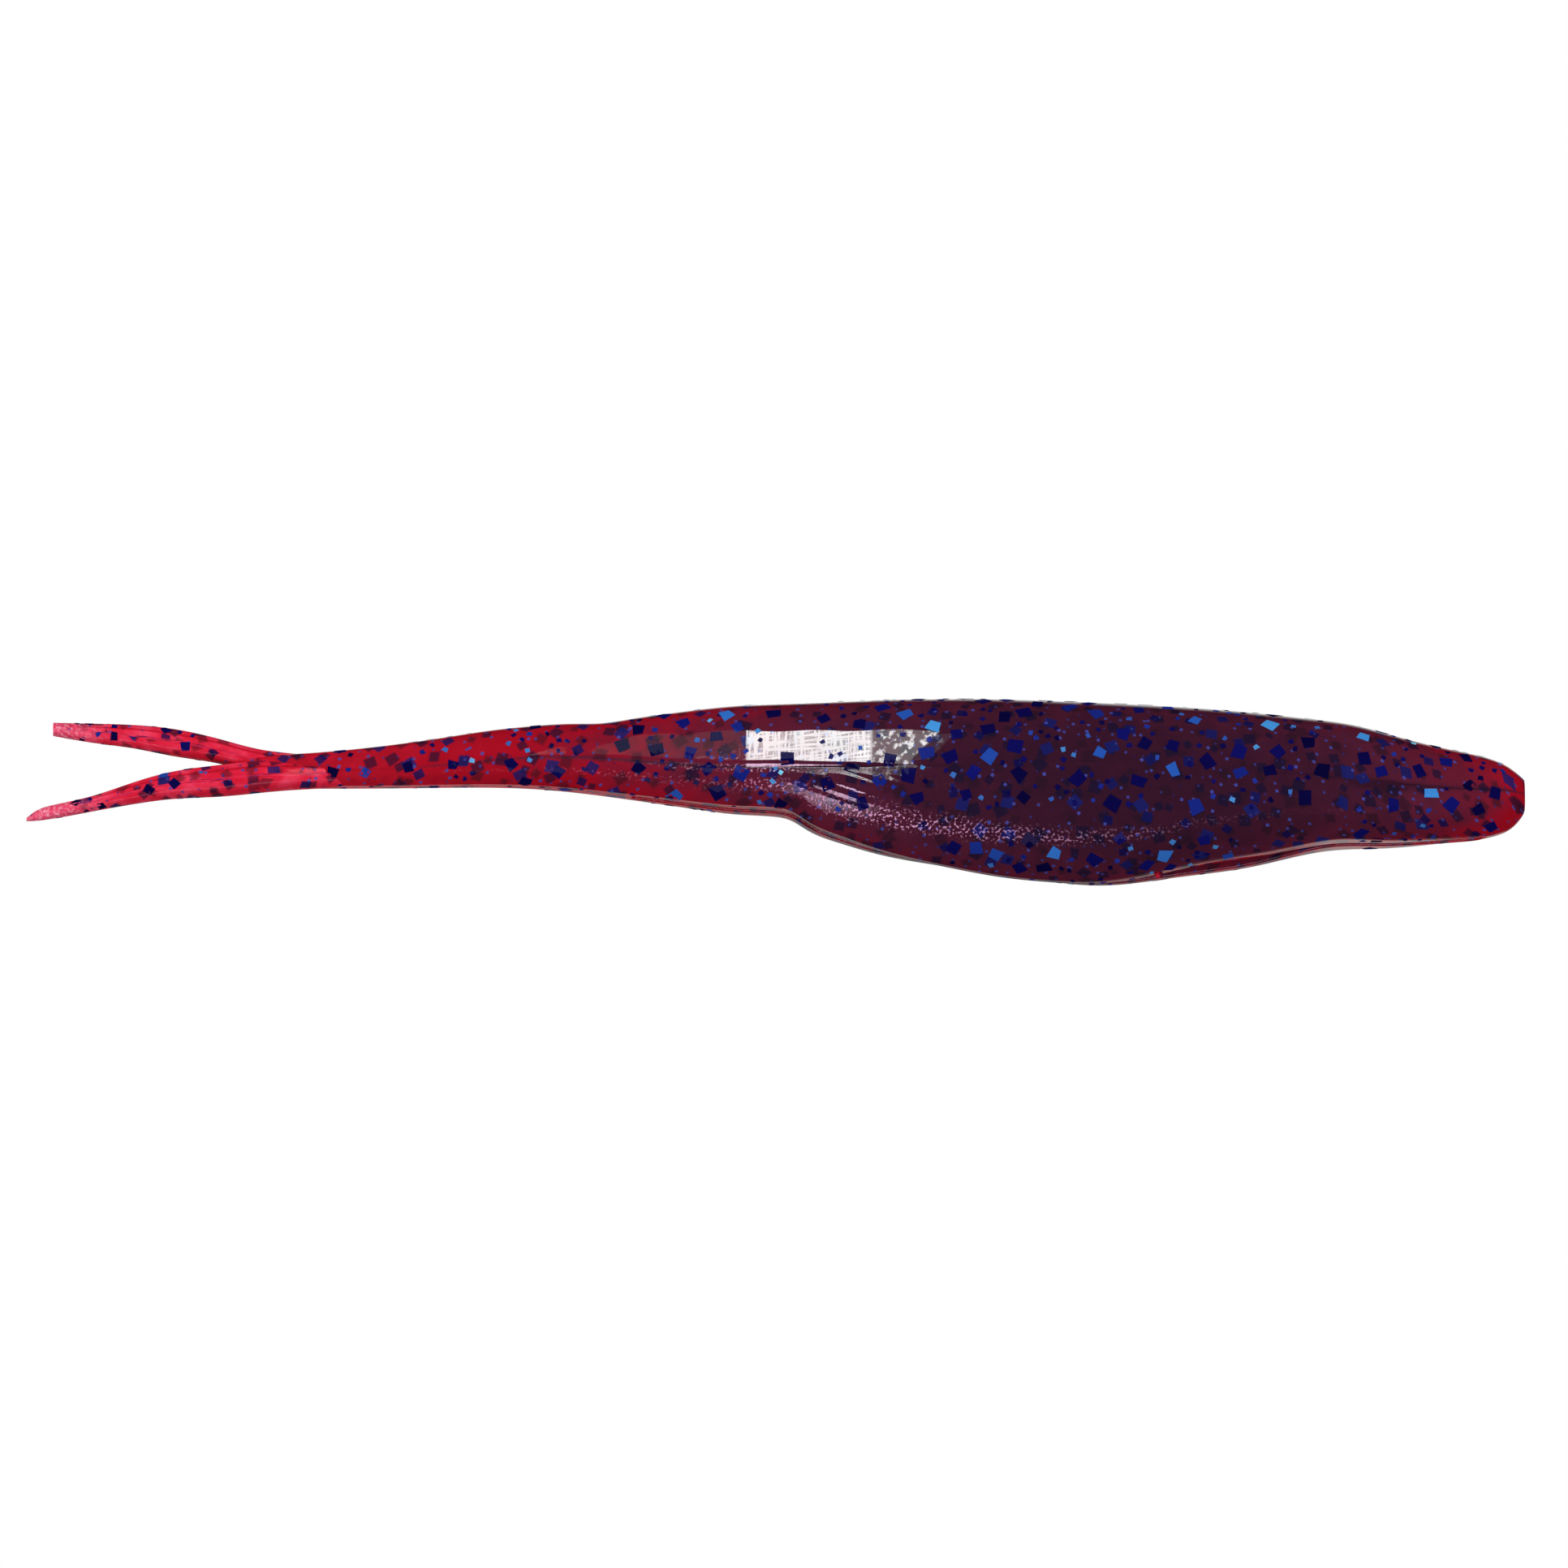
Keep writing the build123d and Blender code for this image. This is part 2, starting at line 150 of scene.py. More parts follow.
ROOF_STEPS = 4
WALL_STEPS = 10
ROUND_STEPS = 4
STRIP_STEPS = 6
FLANK_STEPS = 34
BACK_STEPS = 38
HALF_STEPS = ROOF_STEPS + WALL_STEPS + ROUND_STEPS + STRIP_STEPS + FLANK_STEPS + BACK_STEPS
PARTING_STEP = HALF_STEPS - BACK_STEPS - 1
CORNER_STEP = PARTING_STEP - FLANK_STEPS


def smooth_line(behind, points):
    """Natural cubic spline through the points. It runs in the square root of the distance behind the nose,
    so that a nose that opens like a circle is nearly straight in it."""
    place = np.sqrt(np.array([p[0] for p in points], float))
    value = np.array([p[1] for p in points], float)
    gap = np.diff(place)
    inner = np.arange(1, len(place) - 1)
    matrix = np.eye(len(place))
    matrix[inner, inner - 1] = gap[:-1]
    matrix[inner, inner] = 2 * (gap[:-1] + gap[1:])
    matrix[inner, inner + 1] = gap[1:]
    turn = np.linalg.solve(matrix, np.concatenate([[0], 6 * np.diff(np.diff(value) / gap), [0]]))
    at = np.clip(np.sqrt(behind), place[0], place[-1])
    low = np.clip(np.searchsorted(place, at) - 1, 0, len(gap) - 1)
    b = (at - place[low]) / gap[low]
    a = 1 - b
    arch = ((a**3 - a) * turn[low] + (b**3 - b) * turn[low + 1]) * gap[low] ** 2 / 6
    return a * value[low] + b * value[low + 1] + arch


def ease(value, low, high):
    """0 below low, 1 above high, and the smoothstep curve t * t * (3 - 2 t) between them."""
    t = np.clip((value - low) / (high - low), 0, 1)
    return t * t * (3 - 2 * t)


def half_section(behind, side):
    """Half of each cross-section, one row for each distance behind the nose. It starts at the middle of the
    slot roof, goes down the slot wall, round the lip, out along the flat strip, up the flank as part of an
    ellipse to the parting line, and over the back as a quarter ellipse. Side is 1 for the left half and -1
    for the right."""
    rows = behind[:, None]
    half = smooth_line(rows, HALF_WIDTH)
    parting = smooth_line(rows, PARTING)
    lift = LIP_LIFT * np.exp(-(((rows - LIP_LIFT_AT) / LIP_LIFT_SPREAD) ** 2))
    curl = LIP_CURL * np.exp(-(((rows - LIP_CURL_AT) / LIP_CURL_SPREAD) ** 2))
    belly = smooth_line(rows, BELLY) + lift * (side > 0) + curl * (side < 0)
    opened = ease(rows, SLOT_START, SLOT_START + 0.8) * (1 - ease(rows, SLOT_END - 0.8, SLOT_END))
    strip = np.maximum(smooth_line(rows, STRIP), opened * (SLOT_HALF + LIP_ROUND + 0.1))
    roof = np.maximum(smooth_line(rows, SLOT_ROOF), belly + 0.3)
    across = np.linspace(0, 1, ROOF_STEPS)[None]
    down = np.linspace(0, 1, WALL_STEPS + 1)[None, 1:]
    round_angle = np.linspace(0, math.pi / 2, ROUND_STEPS + 1)[None, 1:]
    one = np.ones_like(rows)
    slot_y = np.hstack([
        SLOT_HALF * across * one,
        SLOT_HALF * one * np.ones_like(down),
        SLOT_HALF + LIP_ROUND * (1 - np.cos(round_angle)) * one,
    ])
    slot_z = np.hstack([
        roof * np.ones_like(across),
        roof + (belly + LIP_ROUND - roof) * down,
        belly + LIP_ROUND * (1 - np.sin(round_angle)),
    ])
    flat_y = 0.5 * strip * np.linspace(0, 1, slot_y.shape[1])[None]
    wall_y = opened * slot_y + (1 - opened) * flat_y
    wall_z = opened * slot_z + (1 - opened) * belly
    out = np.linspace(0, 1, STRIP_STEPS + 1)[None, 1:]
    strip_y = wall_y[:, -1:] + (strip - wall_y[:, -1:]) * out
    strip_z = belly * np.ones_like(out)
    reach = (parting - belly) / np.sqrt(1 - (strip / half) ** 2)
    corner = np.arcsin((parting - belly) / reach)
    rise = np.linspace(0, 1, FLANK_STEPS + 1)[None, 1:]
    rise = 0.5 * rise + 0.5 * np.sin(rise * math.pi / 2)
    facet = smooth_line(rows, FACET)
    angle = corner * (rise - 1)
    flank_z = parting + reach * np.sin(angle)
    chord = (flank_z - belly) / (parting - belly)
    flank_y = (1 - facet) * half * np.cos(angle) + facet * (strip + (half - strip) * chord)
    over = np.linspace(0, 1, BACK_STEPS + 1)[None, 1:]
    over = 0.6 * over + 0.4 * (1 - np.cos(over * math.pi / 2))
    back = smooth_line(rows, BACK)
    back_y = half * np.cos(over * math.pi / 2)
    back_z = parting + (back - parting) * np.sin(over * math.pi / 2)
    y = np.hstack([wall_y, strip_y, flank_y, back_y])
    z = np.hstack([wall_z, strip_z, flank_z, back_z])
    skin = np.arange(y.shape[1])[None] >= wall_y.shape[1] + STRIP_STEPS
    away = z - parting
    groove = smooth_line(rows, PARTING_GROOVE) * np.exp(-np.abs(away) / GROOVE_REACH)
    dent = CHEEK_DENT * np.exp(-(((rows - CHEEK_AT) / CHEEK_SPREAD) ** 2))
    dent = dent * np.exp(away / CHEEK_REACH) * (away < -0.001)
    y = y - (groove + dent) * skin * np.minimum(1, y / half * 1.4)
    fold = np.exp(-(((rows - FOLD_AT) / FOLD_SPREAD) ** 2) - ((z - FOLD_HEIGHT) / FOLD_REACH) ** 2)
    fold *= FOLD_DEPTH * (side < 0) * np.sin(2 * math.pi * (z + FOLD_SLOPE * (rows - FOLD_AT)) / FOLD_SPACING)
    y = y + fold * skin
    uneven = UNEVEN * np.sin(0.55 * rows + 0.8 * side) * np.sin(0.9 * z + 0.31 * rows) * skin
    uneven = uneven * ease(rows, 1, 6)
    y = y + uneven * y / half
    return np.stack([-rows * np.ones_like(y), side * y, z], axis=2)


def grid_normals(points, closed):
    """Unit normals of a grid of points: the cross product of the two directions along the grid."""
    along = np.gradient(points, axis=0)
    if closed:
        around = np.roll(points, -1, axis=1) - np.roll(points, 1, axis=1)
    else:
        around = np.gradient(points, axis=1)
    normal = np.cross(around, along)
    size = np.linalg.norm(normal, axis=2, keepdims=True)
    return normal / np.maximum(size, 1e-9)


rows_behind = np.concatenate([3 * np.linspace(0, 1, 16) ** 2, np.arange(3.3, 113.01, 0.33)])
right_half = half_section(rows_behind, -1)
left_half = half_section(rows_behind, 1)
casting = np.concatenate([right_half, left_half[:, -2:0:-1]], axis=1)
casting_normals = grid_normals(casting, True)
steps = np.linalg.norm(np.diff(casting, axis=1, append=casting[:, :1]), axis=2)
casting_around = np.cumsum(steps, axis=1) - steps
casting_around -= casting_around[:, HALF_STEPS - 1:HALF_STEPS]
# What the material reads at each corner of the skin.
each_row = rows_behind[:, None]
casting_height = casting[:, :, 2]
above_parting = casting_height - smooth_line(each_row, PARTING)
from_middle = np.arange(casting.shape[1])
from_middle = np.minimum(from_middle, casting.shape[1] - from_middle)
wiped_side = ease(-casting[:, :, 1], -SIDE_BLEND, SIDE_BLEND)

scuff_from = (casting_height - smooth_line(each_row, SCUFF_HEIGHT)) / smooth_line(each_row, SCUFF_REACH)
casting_scuff = np.exp(-(scuff_from**2)) * smooth_line(each_row, SCUFF)

flat_under = ease(-casting_normals[:, :, 2], 0.85, 0.97) * (from_middle <= CORNER_STEP)
# Rows where the strip under the body is painted lighter, partly a painted reflection.
lighter_strip_rows = 1 - ease(each_row, 30, 42) * (1 - ease(each_row, 58, 67))
# Deeper in the middle of wide parts; the lighter thin parts and edges are partly painted light shining through.
casting_depth_and_shade = DEEP_BY_HALF_WIDTH * smooth_line(each_row, HALF_WIDTH)
casting_depth_and_shade = casting_depth_and_shade + DEEP_BY_PLACE * np.abs(casting[:, :, 1])
casting_depth_and_shade *= 1 - STRIP_PAINTED_LIGHT * flat_under * lighter_strip_rows
# Painted shade in the cheek hollow, made by deepening the colour there.
hollow_shade = np.exp(
    -(((each_row - HOLLOW_AT) / HOLLOW_SPREAD) ** 2) - ((-above_parting - HOLLOW_BELOW) / HOLLOW_REACH) ** 2
)
casting_depth_and_shade += HOLLOW_SHADE_DARK * hollow_shade * (above_parting < 0)
# Painted shade along the parting crease, a dark line in the colour.
crease_shade = np.exp(-np.abs(above_parting) / CREASE_SHADE_REACH) * smooth_line(each_row, CREASE_SHADE)
casting_depth_and_shade += CREASE_SHADE_DARK * crease_shade

folded = np.exp(
    -(((each_row - FOLD_AT) / FOLD_SPREAD) ** 2) - ((casting_height - FOLD_HEIGHT) / FOLD_REACH) ** 2
)
casting_gloss = np.maximum(ease(above_parting, -0.12, 0.10), folded) * wiped_side

corner_edge = CORNER_GLOSS * np.exp(-(((from_middle - CORNER_STEP) / CORNER_GLOSS_COLUMNS) ** 2))
corner_edge = corner_edge * ease(each_row, 3, 8)
back_edge = ease(casting_normals[:, :, 2], 0.50, 0.80) * wiped_side
strip_edge = (STRIP_GLOSS + CHIN_GLOSS * (1 - ease(each_row, 17, 21))) * flat_under
far_side = FAR_SIDE_GLOSS * (1 - wiped_side)
casting_edge = np.maximum.reduce([corner_edge, back_edge, strip_edge, far_side])
casting_fields = {
    "around": casting_around,
    "thick": casting_depth_and_shade,
    "scuff": casting_scuff,
    "gloss": casting_gloss,
    "edge": casting_edge,
}


def skin_mesh(name, points, normals, fields, closed):
    """A closed shell from a grid of points in millimetres. A closed grid is a tube with a fan of triangles at
    each end. An open grid is a trough: a strip joins its two long edges, and the ends are fans too."""
    rows, columns = points.shape[:2]
    index = np.arange(rows * columns).reshape(rows, columns)
    ring = np.concatenate([index, index[:, :1]], axis=1)
    quads = np.stack([ring[:-1, :-1], ring[:-1, 1:], ring[1:, 1:], ring[1:, :-1]], axis=2).reshape(-1, 4)
    flat = points.reshape(-1, 3)
    corner_normals = normals.reshape(-1, 3)[quads]
    if not closed:
        bridge = np.arange(len(quads)) % columns == columns - 1
        a, b, c = flat[quads[bridge, 0]], flat[quads[bridge, 1]], flat[quads[bridge, 2]]
        face = np.cross(b - a, c - a)
        face /= np.maximum(np.linalg.norm(face, axis=1, keepdims=True), 1e-9)
        corner_normals[bridge] = face[:, None]
    ends = np.array([points[0].mean(axis=0), points[-1].mean(axis=0)])
    first = np.stack([np.full(columns, rows * columns), ring[0, 1:], ring[0, :-1]], axis=1)
    last = np.stack([np.full(columns, rows * columns + 1), ring[-1, :-1], ring[-1, 1:]], axis=1)
    vertices = np.concatenate([flat, ends]) * MM
    corners = np.concatenate([quads.ravel(), first.ravel(), last.ravel()])
    starts = np.concatenate([np.arange(len(quads)) * 4, len(quads) * 4 + np.arange(2 * columns) * 3])
    forward = np.tile([1.0, 0.0, 0.0], (columns * 3, 1))
    all_normals = np.concatenate([corner_normals.reshape(-1, 3), forward, -forward])
    mesh = bpy.data.meshes.new(name)
    mesh.vertices.add(len(vertices))
    mesh.vertices.foreach_set("co", vertices.astype(np.float32).ravel())
    mesh.loops.add(len(corners))
    mesh.loops.foreach_set("vertex_index", corners.astype(np.int32))
    mesh.polygons.add(len(starts))
    mesh.polygons.foreach_set("loop_start", starts.astype(np.int32))
    mesh.update(calc_edges=True)
    mesh.polygons.foreach_set("use_smooth", np.ones(len(starts), bool))
    mesh.normals_split_custom_set(all_normals.astype(np.float32))
    for label, values in {"along": -points[:, :, 0], **fields}.items():
        attribute = mesh.attributes.new(label, "FLOAT", "POINT")
        padded = np.concatenate([values.ravel(), [values[0].mean(), values[-1].mean()]])
        attribute.data.foreach_set("value", padded.astype(np.float32))
    piece = bpy.data.objects.new(name, mesh)
    bpy.context.scene.collection.objects.link(piece)
    return piece


class Shade:
    """A socket of a material's node tree. Arithmetic on shades adds Math nodes, and node() adds any other."""

    def __init__(self, tree, socket=None):
        self.tree = tree
        self.socket = socket

    def node(self, kind, settings=None, sockets=None):
        """Adds a node: its settings first, then its sockets' values or links. Returns its first output."""
        new = self.tree.nodes.new(kind)
        for name, value in (settings or {}).items():
            if name == "stops":
                while len(new.color_ramp.elements) < len(value):
                    new.color_ramp.elements.new(1.0)
                for stop, (place, colour) in zip(new.color_ramp.elements, value):
                    stop.position = place
                    stop.color = (*colour, 1.0)
            else:
                setattr(new, name, value)
        for name, value in (sockets or {}).items():
            if isinstance(value, Shade):
                self.tree.links.new(value.socket, new.inputs[name])
            else:
                new.inputs[name].default_value = value
        return Shade(self.tree, new.outputs[0]) if new.outputs else None

    def output(self, name):
        """Another output of the node that this shade comes from."""
        return Shade(self.tree, self.socket.node.outputs[name])

    def math(self, operation, first, second=0.0):
        return self.node("ShaderNodeMath", {"operation": operation}, {0: first, 1: second})

    def __add__(self, other):
        return self.math("ADD", self, other)

    def __radd__(self, other):
        return self.math("ADD", other, self)

    def __sub__(self, other):
        return self.math("SUBTRACT", self, other)

    def __rsub__(self, other):
        return self.math("SUBTRACT", other, self)

    def __mul__(self, other):
        return self.math("MULTIPLY", self, other)

    def __rmul__(self, other):
        return self.math("MULTIPLY", other, self)

    def __truediv__(self, other):
        return self.math("DIVIDE", self, other)

    def __rtruediv__(self, other):
        return self.math("DIVIDE", other, self)

    def __lt__(self, other):
        return self.math("LESS_THAN", self, other)

    def __gt__(self, other):
        return self.math("GREATER_THAN", self, other)

    def __abs__(self):
        return self.math("ABSOLUTE", self)

    def larger(self, other):
        return self.math("MAXIMUM", self, other)

    def noise(self, place, scale, detail):
        """Noise from 0 to 1, read at a place."""
        sockets = {"Vector": place, "Scale": scale, "Detail": detail}
        return self.node("ShaderNodeTexNoise", None, sockets).output("Fac")

    def smooth(self, low, high):
        """The smoothstep from 0 at low to 1 at high."""
        settings = {"interpolation_type": "SMOOTHSTEP"}
        return self.node("ShaderNodeMapRange", settings, {"Value": self, "From Min": low, "From Max": high})

    def tint(self, below, above):
        """Mixes from the colour below to the colour above by this shade."""
        new = self.node("ShaderNodeMix", {"data_type": "RGBA"}, {0: self, 6: below, 7: above})
        return Shade(self.tree, new.socket.node.outputs[2])


def linear(red, green, blue):
    """A screen colour of 0 to 255 as the linear colour that a shader takes."""
    share = np.array([red, green, blue]) / 255
    return tuple(np.where(share <= 0.04045, share / 12.92, ((share + 0.055) / 1.055) ** 2.4).tolist())


def rgba(red, green, blue):
    return (*linear(red, green, blue), 1.0)


FULL_TURN = 6.28


def flake_layer(start, along, around, spacing, smallest, largest, blur, share, shift):
    """Square flakes lying in the plastic. Each cell of a Voronoi pattern holds one: the offset from the cell's
    point is turned by a chance angle, and the flake is where the larger of the two offsets is under half its
    side. Returns the cover of the layer and a chance number for each flake."""
    place = start.node(
        "ShaderNodeCombineXYZ", None, {"X": along / spacing + shift, "Y": around / spacing, "Z": shift}
    )
    cell = start.node(
        "ShaderNodeTexVoronoi",
        {"voronoi_dimensions": "2D"},
        {"Vector": place, "Scale": 1.0, "Randomness": 0.9},
    )
    offset = start.node(
        "ShaderNodeVectorMath", {"operation": "SUBTRACT"}, {0: place, 1: cell.output("Position")}
    )
    chance = start.node("ShaderNodeSeparateColor", None, {"Color": cell.output("Color")})
    turned = start.node(
        "ShaderNodeVectorRotate", {"rotation_type": "Z_AXIS"}, {"Vector": offset, "Angle": chance * FULL_TURN}
    )
    sides = start.node("ShaderNodeSeparateXYZ", None, {"Vector": turned})
    box = abs(sides.output("X")).larger(abs(sides.output("Y"))) * spacing
    half = chance.output("Green") * (largest - smallest) + smallest
    inside = (half - box).smooth(0.0, blur)
    return inside * (chance.output("Blue") < share), chance.output("Green")


DEPTH_AND_SHADE_SCALE = 12.4


def wine_plastic():
    """Clear soft plastic tinted wine red: redder where it is thin and plum where it is deep, partly painted
    light shining through the thin parts, with painted shade in the cheek hollow, along the parting crease and
    along the prongs' bevel line; flakes and specks at several depths, a glossy oily face with fine grain, and
    frosted pink ends on the prongs."""
    material = bpy.data.materials.new("wine_plastic")
    material.use_nodes = True
    material.node_tree.nodes.clear()
    start = Shade(material.node_tree)
    along, around, thick, scuff, gloss, edge = (
        start.node("ShaderNodeAttribute", {"attribute_name": label}).output("Fac")
        for label in ("along", "around", "thick", "scuff", "gloss", "edge")
    )
    place = start.node("ShaderNodeCombineXYZ", None, {"X": along, "Y": around, "Z": 0.0})
    depth_stops = [
        (0.02, linear(228, 66, 98)),
        (0.09, linear(214, 34, 62)),
        (0.16, linear(196, 22, 46)),
        (0.26, linear(164, 18, 37)),
        (0.36, linear(158, 13, 31)),
        (0.46, linear(134, 19, 39)),
        (0.56, linear(100, 24, 44)),
        (0.72, linear(80, 27, 47)),
        (0.88, linear(60, 23, 41)),
        (1.00, linear(50, 20, 38)),
    ]
    cloud = start.noise(place, 0.45, 3.0)
    # The colour follows depth and painted shade: lighter red where shallow, partly painted light shining
    # through, plum where deep or shaded.
    cloudy = thick / DEPTH_AND_SHADE_SCALE + (cloud - 0.5) * 0.28
    body = start.node("ShaderNodeValToRGB", {"stops": depth_stops}, {"Fac": cloudy})
    frost = along.smooth(125.5, 131.5)
    frost_grain = start.noise(place, 3.2, 4.0)
    frost_colour = frost_grain.smooth(0.45, 0.7).tint(rgba(226, 70, 108), rgba(240, 168, 186))
    body = (frost * frost_grain.smooth(0.2, 0.5) * 0.9).tint(body, frost_colour)
    clear = 1.0 - frost

    # From the deepest flakes, only shadows, to the specks just under the skin.
    murk = flake_layer(start, along, around, 2.3, 0.45, 0.75, 0.34, 0.62, 3.1)
    body = (murk[0] * clear * 0.62).tint(body, rgba(36, 20, 34))
    deep = flake_layer(start, along, around, 2.0, 0.42, 0.68, 0.22, 0.55, 11.7)
    body = (deep[0] * clear * 0.80).tint(body, rgba(22, 18, 44))
    middle = flake_layer(start, along, around, 2.6, 0.40, 0.62, 0.09, 0.50, 23.9)
    navy = middle[1].tint(rgba(14, 12, 62), rgba(24, 30, 96))
    body = (middle[0] * clear * 0.92).tint(body, navy)
    specks = flake_layer(start, along, around, 0.85, 0.08, 0.17, 0.04, 0.42, 41.3)
    speck_colour = specks[1].tint(rgba(20, 16, 66), rgba(64, 70, 150))
    body = (specks[0] * 0.9).tint(body, speck_colour)

    # The skin's own face: fine grain, the scuffed band's glints, and the block where it was wiped shiny.
    grain = start.noise(place, 5.0, 3.0)
    wave = start.noise(place, 0.9, 2.0)
    height = wave * 0.002 + grain * (0.0008 + scuff * 0.022)
    bump = start.node("ShaderNodeBump", None, {"Height": height, "Strength": 1.0, "Distance": MM})
    glint = start.noise(place, 3.6, 2.0)
    glint = glint.smooth(0.54, 0.62)
    lengthwise = start.node("ShaderNodeCombineXYZ", None, {"X": along * 0.4, "Y": around * 4.5, "Z": 0.0})
    crosswise = start.node("ShaderNodeCombineXYZ", None, {"X": along * 4.5, "Y": around * 0.4, "Z": 5.0})
    hair = start.noise(lengthwise, 1.0, 1.0)
    weave = start.noise(crosswise, 1.0, 1.0)
    brushed = hair.larger(weave).smooth(0.42, 0.58) * 0.65 + 0.35
    wiped = along.smooth(57.9, 58.4) * (1.0 - along.smooth(69.15, 69.35))
    unwiped = 0.12 - along.smooth(69.0, 69.3) * (1.0 - along.smooth(84.0, 96.0)) * 0.10
    mottle = start.noise(place, 1.6, 3.0)
    patchy = mottle.smooth(0.50, 0.62) * (1.0 - along.smooth(57.8, 58.2)) * along.smooth(50.0, 51.0) * 0.7
    coat = gloss * (unwiped + brushed * (0.88 * wiped + patchy)) + edge
    smooth_skin = start.node("ShaderNodeBsdfPrincipled", None, {
        "Base Color": body,
        "Roughness": 0.5,
        "Specular IOR Level": 0.0,
        "Coat Weight": coat,
        "Coat Roughness": 0.03,
    })
    scuffed_skin = start.node("ShaderNodeBsdfPrincipled", None, {
        "Base Color": body,
        "Roughness": 0.14,
        "Specular Tint": (1.0, 0.74, 0.92, 1.0),
        "Normal": bump,
    })
    shader = start.node("ShaderNodeMixShader", None, {0: scuff * glint, 1: smooth_skin, 2: scuffed_skin})
    start.node("ShaderNodeOutputMaterial", None, {"Surface": shader})
    return material


skin_finish = wine_plastic()


def casting_piece(name, front, rear, columns, closed):
    """The skin between two distances behind the nose, over the given columns of the cross-section."""
    rows = slice(np.searchsorted(rows_behind, front), np.searchsorted(rows_behind, rear) + 1)
    fields = {label: field[rows][:, columns] for label, field in casting_fields.items()}
    piece = skin_mesh(name, casting[rows][:, columns], casting_normals[rows][:, columns], fields, closed)
    piece.data.materials.append(skin_finish)
    return piece


def behind(distance, height=0.0):
    """A point on the middle plane of the casting, in metres."""
    return (-distance * MM, 0.0, height * MM)


ALL_ROUND = np.arange(casting.shape[1])
LIPS_FRONT = 19.0
LIPS_REAR = 59.5

# For each length: the two lengths that its skin bends between, and where the bend starts and ends.
CASTING_BENDS = {"head": ("head", "trunk", behind(14.2), behind(18.8))}

head = casting_piece("head", 0.0, LIPS_FRONT, ALL_ROUND, True)
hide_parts("head_core")
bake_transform(head)

# ---------------------------------------------------------------------------------------------------------
# Trunk. The thick middle of the casting. Its underside is split by the hook slot, whose roof and upper walls
# belong to it, and its two lips hang below it as soft flaps.
# ---------------------------------------------------------------------------------------------------------

SLOT_CUT = ROOF_STEPS + 4
FLANK_CUT = PARTING_STEP - int(0.6 * FLANK_STEPS)
RIGHT_LIP_COLUMNS = np.arange(SLOT_CUT, FLANK_CUT + 1)
LEFT_LIP_COLUMNS = casting.shape[1] - RIGHT_LIP_COLUMNS[::-1]
TRUNK_COLUMNS = np.concatenate([
    np.arange(FLANK_CUT, casting.shape[1] - FLANK_CUT + 1),
    np.arange(casting.shape[1] - SLOT_CUT, casting.shape[1]),
    np.arange(0, SLOT_CUT + 1),
])

trunk = casting_piece("trunk", LIPS_FRONT, LIPS_REAR, TRUNK_COLUMNS, False)
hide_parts("trunk_core")
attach(trunk, "trunk")

# ---------------------------------------------------------------------------------------------------------
# Lips of the hook slot. Two soft flaps of the same casting, which spread when the hook pulls through. The
# right one hangs a little lower in the middle, as the bait has lain on it.
# ---------------------------------------------------------------------------------------------------------

LIP_ROOT_HEIGHT = -5.0
LIP_FREE_HEIGHT = -8.2

for lip, columns in (("right_lip", RIGHT_LIP_COLUMNS), ("left_lip", LEFT_LIP_COLUMNS)):
    flap = casting_piece(lip, LIPS_FRONT, LIPS_REAR, columns, False)
    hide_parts(lip + "_core")
    CASTING_BENDS[lip] = ("trunk", lip, behind(0, LIP_ROOT_HEIGHT), behind(0, LIP_FREE_HEIGHT))
    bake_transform(flap)

# A nib of flash stands on the right lip's edge, where the mould's halves did not quite close.
NIB_AT = np.array([-32.6, -1.5, -7.62])
NIB_SIZE = np.array([0.42, 0.26, 0.30])
rise = np.linspace(0.12, math.pi - 0.12, 11)[:, None]
turn = np.linspace(0, 2 * math.pi, 16, endpoint=False)[None]
ball = np.stack([
    np.cos(rise) * np.ones_like(turn),
    -np.sin(rise) * np.sin(turn),
    -np.sin(rise) * np.cos(turn),
], axis=2)
even = np.ones(ball.shape[:2])
nib_fields = {"around": 40 + even, "thick": 1.6 * even, "scuff": 0 * even, "gloss": even, "edge": 0 * even}
nib = skin_mesh("flash_nib", NIB_AT + NIB_SIZE * ball, ball, nib_fields, True)
nib.data.materials.append(skin_finish)
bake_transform(nib)

# ---------------------------------------------------------------------------------------------------------
# Rear body and tail stem. The casting narrows behind the slot into a slim stem that ends in the fork.
# ---------------------------------------------------------------------------------------------------------

# For each length: its front, its rear, and the two bodies its skin bends between, each with where it takes
# over. The middle of the stem names them from the rear, because the bend is then found more exactly.
REAR_LENGTHS = (
    ("rear_body", LIPS_REAR, 72.0, "trunk", 61.5, "rear_body", 66.5),
    ("stem_root", 72.0, 86.5, "rear_body", 79.5, "stem_root", 84.5),
    ("stem_mid", 86.5, 96.5, "stem_mid", 94.5, "stem_root", 89.5),
    ("stem_tip", 96.5, 113.0, "stem_mid", 98.5, "stem_tip", 103.5),
)

for name, front, rear, first_body, first_at, second_body, second_at in REAR_LENGTHS:
    length = casting_piece(name, front, rear, ALL_ROUND, True)
    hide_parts(name + "_core")
    CASTING_BENDS[name] = (first_body, second_body, behind(first_at), behind(second_at))
    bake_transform(length)

# ---------------------------------------------------------------------------------------------------------
# Prongs of the fork. Two slim tapered tongues of the same casting, each with a flat face and a narrow bevel
# along its upper edge. The upper one levels out to a blunt end, and the lower one curves down to a point.
# ---------------------------------------------------------------------------------------------------------

